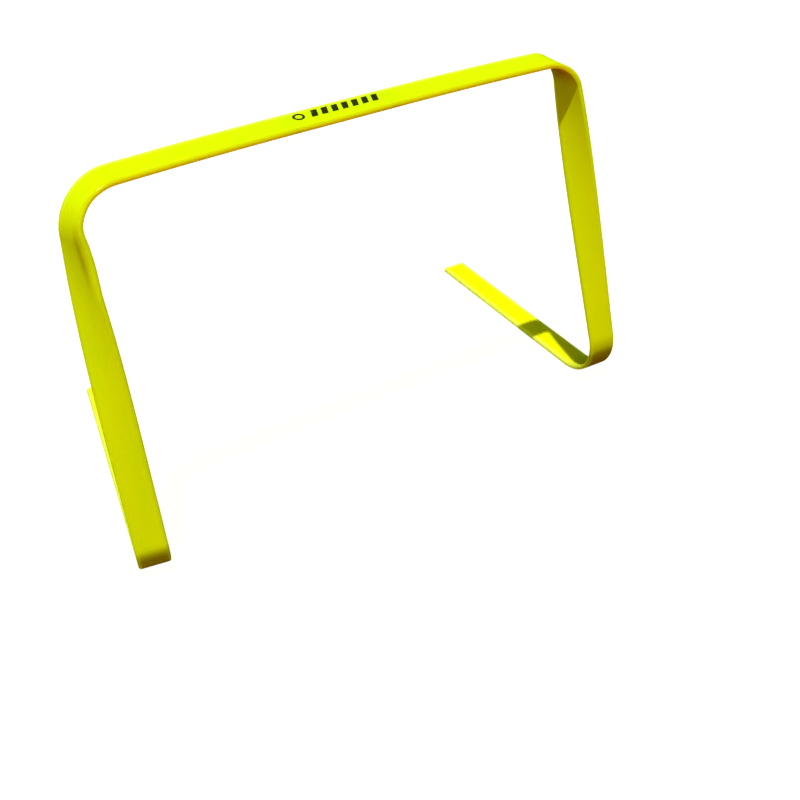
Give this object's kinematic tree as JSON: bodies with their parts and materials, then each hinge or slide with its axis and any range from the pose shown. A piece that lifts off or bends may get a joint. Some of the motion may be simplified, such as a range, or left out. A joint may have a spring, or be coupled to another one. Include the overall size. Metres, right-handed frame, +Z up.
{
  "type": "agility hurdle",
  "caption": "Low free-standing agility hurdle bent from one flat plastic strap: gently arched crossbar, twisted legs, and flat feet that point back.",
  "frame": {"origin": "on the floor, at the middle of the hurdle's bounding box", "axes": "+X along the crossbar towards the right leg, +Y the way the feet point, +Z up"},
  "size_m": [0.4792, 0.2743, 0.3073],
  "materials": {
    "strap": "smooth extruded PVC with a soft gloss, fluorescent yellow",
    "ink": "flat black screen print"
  },
  "bodies": {
    "crossbar": {"middle_crossbar": "strap", "left_crossbar": "strap", "right_crossbar": "strap", "printed_mark": "ink", "left_shoulder_bend": "strap", "right_shoulder_bend": "strap"},
    "left_leg": {"left_upper_leg": "strap", "left_middle_leg": "strap", "left_lower_leg": "strap", "left_ankle_bend": "strap"},
    "left_foot": {"left_foot": "strap"},
    "right_leg": {"right_upper_leg": "strap", "right_middle_leg": "strap", "right_lower_leg": "strap", "right_ankle_bend": "strap"},
    "right_foot": {"right_foot": "strap"}
  },
  "joints": [
    {"name": "left_shoulder_flex", "type": "hinge", "parent": "crossbar", "child": "left_leg", "pos_m": [-0.21327, -0.09007, 0.29165], "axis": [-0.0048, -0.9868, 0.1617], "range_deg": [-35, 20], "stiffness_Nm_per_rad": 4, "deforming": ["left_shoulder_bend"]},
    {"name": "left_ankle_flex", "type": "hinge", "parent": "left_leg", "child": "left_foot", "pos_m": [-0.22592, -0.12744, 0.01064], "axis": [0.9828, -0.1839, 0.0147], "range_deg": [-30, 50], "stiffness_Nm_per_rad": 4, "deforming": ["left_ankle_bend"]},
    {"name": "right_shoulder_flex", "type": "hinge", "parent": "crossbar", "child": "right_leg", "pos_m": [0.17704, -0.08954, 0.29484], "axis": [-0.0047, 0.9873, -0.1587], "range_deg": [-35, 20], "stiffness_Nm_per_rad": 4, "deforming": ["right_shoulder_bend"]},
    {"name": "right_ankle_flex", "type": "hinge", "parent": "right_leg", "child": "right_foot", "pos_m": [0.21456, -0.11844, 0.01725], "axis": [0.9924, -0.0433, 0.1148], "range_deg": [-30, 50], "stiffness_Nm_per_rad": 4, "deforming": ["right_ankle_bend"]}
  ]
}
